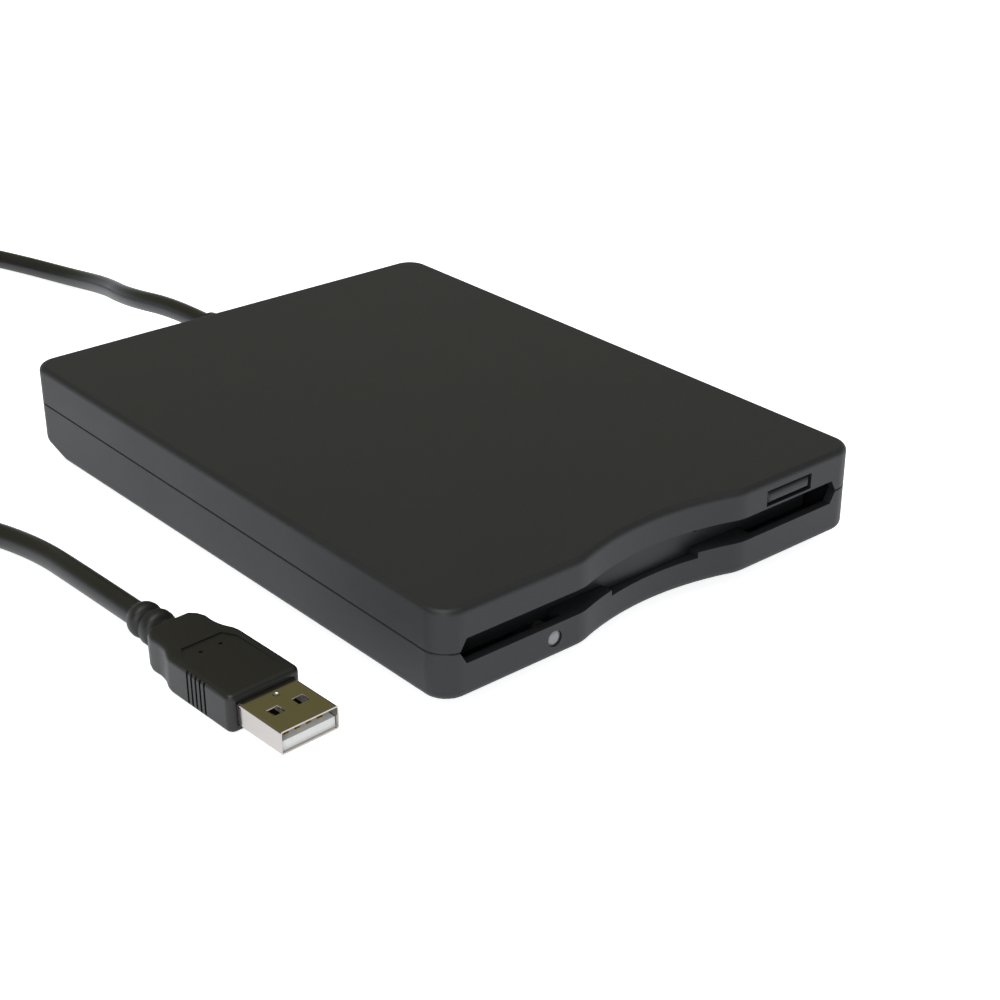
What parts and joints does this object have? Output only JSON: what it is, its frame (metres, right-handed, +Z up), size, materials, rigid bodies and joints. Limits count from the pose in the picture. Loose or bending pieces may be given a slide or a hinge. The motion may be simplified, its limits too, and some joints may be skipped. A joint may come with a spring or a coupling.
{
  "type": "external floppy disk drive",
  "caption": "Slim external drive for 3.5-inch floppy disks: two-part case with a scalloped front, disk slot with dust door, eject button, busy light and captive lead with plug.",
  "frame": {"origin": "on the table under the middle of the case", "axes": "+X to the right seen from the front, +Y from the slot to the rear, +Z up"},
  "size_m": [0.1445, 0.2864, 0.0209],
  "materials": {
    "case_plastic": "fine-textured black moulded plastic",
    "door_plastic": "smooth black plastic",
    "button_plastic": "satin black plastic",
    "lens": "grey translucent lens",
    "led_resin": "clear resin lamp",
    "foot_rubber": "soft black rubber",
    "cable_jacket": "black vinyl jacket",
    "tie": "black coated tie",
    "plug_moulding": "black vinyl moulding",
    "plug_steel": "nickel-plated steel",
    "plug_insulator": "white insulator",
    "contact_metal": "gold-plated contacts",
    "wire_insulation": "coloured wire insulation",
    "frame_steel": "zinc-plated sheet steel",
    "pin_steel": "ground steel",
    "spring_steel": "spring wire",
    "screw_steel": "blackened steel screws",
    "bearing_bronze": "sintered bronze",
    "rotor_steel": "plated steel cup",
    "magnet": "bonded ferrite",
    "core_steel": "laminated iron",
    "copper_wire": "enamelled copper wire",
    "circuit_board": "green circuit board",
    "chip_resin": "black chip resin",
    "crystal_can": "metal can",
    "connector_resin": "ivory connector",
    "flat_cable_film": "flat film cable",
    "carriage_resin": "glass-filled resin",
    "arm_metal": "pressed arm",
    "head_ceramic": "polished ceramic head",
    "switch_resin": "pale resin switch"
  },
  "bodies": {
    "case": {"top_cover": "case_plastic", "bottom_cover": "case_plastic", "led_lens": "lens", "led_body": "led_resin", "rubber_feet": "foot_rubber", "lead_rear": "cable_jacket", "lead_front": "cable_jacket", "lead_coil": "cable_jacket", "strain_relief": "cable_jacket", "lead_tie": "tie", "plug_body": "plug_moulding", "plug_shell": "plug_steel", "plug_tongue": "plug_insulator", "plug_contacts": "contact_metal", "inner_wires": "wire_insulation", "drive_chassis": "frame_steel", "drive_lid": "frame_steel", "door_wire": "pin_steel", "guide_rod": "pin_steel", "latch_post": "pin_steel", "door_spring": "spring_steel", "latch_spring": "spring_steel", "slide_springs": "spring_steel", "case_screws": "screw_steel", "board_screws": "screw_steel", "drive_screws": "screw_steel", "spindle_bearing": "bearing_bronze", "stepper_motor": "rotor_steel", "stator_core": "core_steel", "stator_windings": "copper_wire", "motor_board": "circuit_board", "drive_board": "circuit_board", "usb_board": "circuit_board", "led_board": "circuit_board", "controller_chip": "chip_resin", "drive_chip": "chip_resin", "crystal": "crystal_can", "flat_cable_sockets": "connector_resin", "lead_header": "connector_resin", "flat_cable": "flat_cable_film", "detector_switches": "switch_resin"},
    "eject": {"eject_button": "button_plastic", "slide_plate": "frame_steel"},
    "cage": {"disk_cage": "frame_steel"},
    "door": {"dust_door": "door_plastic"},
    "rotor": {"rotor_cup": "rotor_steel", "rotor_magnet": "magnet", "spindle_shaft": "pin_steel", "spindle_hub": "pin_steel", "drive_pin": "pin_steel"},
    "carriage": {"head_carriage": "carriage_resin", "lower_head": "head_ceramic", "arm_pin": "pin_steel"},
    "upper_arm": {"head_arm": "arm_metal", "upper_head": "head_ceramic"},
    "screw": {"lead_screw": "pin_steel"},
    "latch": {"latch_lever": "frame_steel"},
    "write_protect": {"write_protect_pin": "switch_resin"},
    "density": {"density_pin": "switch_resin"},
    "disk_in": {"disk_in_pin": "switch_resin"}
  },
  "joints": [
    {"name": "door_hinge", "type": "hinge", "parent": "case", "child": "door", "pos_m": [0, -0.0649, 0.0143], "axis": [1, 0, 0], "range_deg": [0, 80], "stiffness_Nm_per_rad": 0.0005},
    {"name": "eject_slide", "type": "slide", "parent": "case", "child": "eject", "axis": [0, -1, 0], "range_m": [0, 0.0045]},
    {"name": "cage_lift", "type": "slide", "parent": "case", "child": "cage", "axis": [0, 0, -1], "range_m": [0, 0.0024]},
    {"name": "latch_turn", "type": "hinge", "parent": "case", "child": "latch", "pos_m": [-0.025, 0.0385, 0.0088], "axis": [0, 0, 1], "range_deg": [0, 18]},
    {"name": "head_travel", "type": "slide", "parent": "case", "child": "carriage", "axis": [0, -1, 0], "range_m": [0, 0.015]},
    {"name": "screw_turn", "type": "hinge", "parent": "case", "child": "screw", "pos_m": [0.019, 0.04, 0.0106], "axis": [0, 1, 0], "range_deg": [0, 1801]},
    {"name": "head_lift", "type": "hinge", "parent": "carriage", "child": "upper_arm", "pos_m": [0, 0.046, 0.0149], "axis": [1, 0, 0], "range_deg": [0, 11]},
    {"name": "spindle", "type": "hinge", "parent": "case", "child": "rotor", "pos_m": [0, -0.016, 0.008], "axis": [0, 0, 1], "continuous": true},
    {"name": "write_protect_press", "type": "slide", "parent": "case", "child": "write_protect", "axis": [0, 0, -1], "range_m": [0, 0.0011], "stiffness_N_per_m": 50},
    {"name": "density_press", "type": "slide", "parent": "case", "child": "density", "axis": [0, 0, -1], "range_m": [0, 0.0011], "stiffness_N_per_m": 50},
    {"name": "disk_in_press", "type": "slide", "parent": "case", "child": "disk_in", "axis": [0, 0, -1], "range_m": [0, 0.0011], "stiffness_N_per_m": 50}
  ],
  "couplings": [
    {"joint": "cage_lift", "follows": "eject_slide", "ratio": 0.5333},
    {"joint": "latch_turn", "follows": "eject_slide", "rad_per_m": 69.8},
    {"joint": "head_lift", "follows": "eject_slide", "rad_per_m": 42.6},
    {"joint": "screw_turn", "follows": "head_travel", "rad_per_m": 2094.4}
  ]
}
